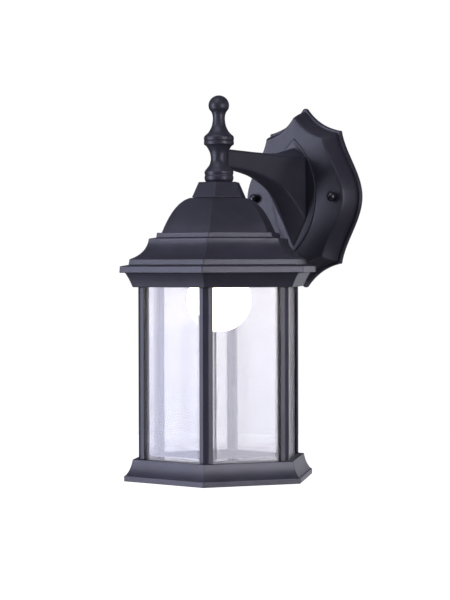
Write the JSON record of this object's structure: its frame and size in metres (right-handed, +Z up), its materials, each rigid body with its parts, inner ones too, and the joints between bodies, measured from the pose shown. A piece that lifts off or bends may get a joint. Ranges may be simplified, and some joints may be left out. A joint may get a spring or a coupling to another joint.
{
  "type": "outdoor wall lantern",
  "caption": "Six-sided glazed outdoor lantern hung under a curved arm from a shaped wall plate, with a stepped bell roof, turned finial, open base and a globe bulb inside.",
  "frame": {"origin": "middle of the mounting strap's back face, in the plane of the wall, at the middle of the wall plate", "axes": "+Z up, +Y into the wall, +X to the right when facing the wall; the lantern hangs towards -Y"},
  "size_m": [0.1752, 0.1986, 0.3183],
  "materials": {
    "black_powder_coat": "fine matte textured black powder coat on die-cast aluminium",
    "black_gloss": "smooth gloss black enamel on brass",
    "black_zinc": "black zinc-plated steel",
    "zinc_plate": "bright zinc-plated steel",
    "green_screw": "green passivated steel",
    "clear_glass": "polished clear glass with ground bevels",
    "porcelain": "white glazed porcelain",
    "brass": "plain brass",
    "bulb_glass": "white frosted globe, lit",
    "bulb_metal": "rolled aluminium screw base",
    "base_insulator": "black vitrite",
    "black_lead": "black wire insulation",
    "white_lead": "white wire insulation",
    "connector": "orange moulded wire connector"
  },
  "bodies": {
    "fixture": {"wall_plate": "black_powder_coat", "mounting_strap": "zinc_plate", "mounting_stud_left": "zinc_plate", "mounting_stud_right": "zinc_plate", "stud_lock_nut_left": "zinc_plate", "stud_lock_nut_right": "zinc_plate", "ground_screw": "green_screw", "arm": "black_powder_coat", "arm_screw_1": "black_zinc", "arm_screw_2": "black_zinc", "roof_cap": "black_powder_coat", "roof": "black_powder_coat", "frame_screw_1": "black_zinc", "frame_screw_2": "black_zinc", "frame_screw_3": "black_zinc", "top_frame": "black_powder_coat", "post_1": "black_powder_coat", "post_2": "black_powder_coat", "post_3": "black_powder_coat", "post_4": "black_powder_coat", "post_5": "black_powder_coat", "post_6": "black_powder_coat", "glass_panel_1": "clear_glass", "glass_panel_2": "clear_glass", "glass_panel_3": "clear_glass", "glass_panel_4": "clear_glass", "glass_panel_5": "clear_glass", "glass_panel_6": "clear_glass", "base_ring": "black_powder_coat", "nipple": "zinc_plate", "roof_nut": "zinc_plate", "socket_cup": "zinc_plate", "socket_body": "porcelain", "socket_shell": "brass", "socket_contact": "brass", "hot_lead": "black_lead", "neutral_lead": "white_lead", "hot_connector": "connector", "neutral_connector": "connector"},
    "bulb": {"bulb_glass": "bulb_glass", "bulb_base": "bulb_metal", "bulb_insulator": "base_insulator", "bulb_tip": "brass"},
    "finial": {"finial": "black_powder_coat", "finial_stud": "zinc_plate"},
    "left_cap_nut": {"cap_nut_left": "black_gloss"},
    "right_cap_nut": {"cap_nut_right": "black_gloss"}
  },
  "joints": [
    {"name": "bulb_out", "type": "slide", "parent": "fixture", "child": "bulb", "axis": [0, 0, -1], "range_m": [0, 0.22]},
    {"name": "finial_off", "type": "slide", "parent": "fixture", "child": "finial", "axis": [0, 0, 1], "range_m": [0, 0.015]},
    {"name": "left_cap_nut_off", "type": "slide", "parent": "fixture", "child": "left_cap_nut", "axis": [0, -1, 0], "range_m": [0, 0.012]},
    {"name": "right_cap_nut_off", "type": "slide", "parent": "fixture", "child": "right_cap_nut", "axis": [0, -1, 0], "range_m": [0, 0.012]}
  ]
}
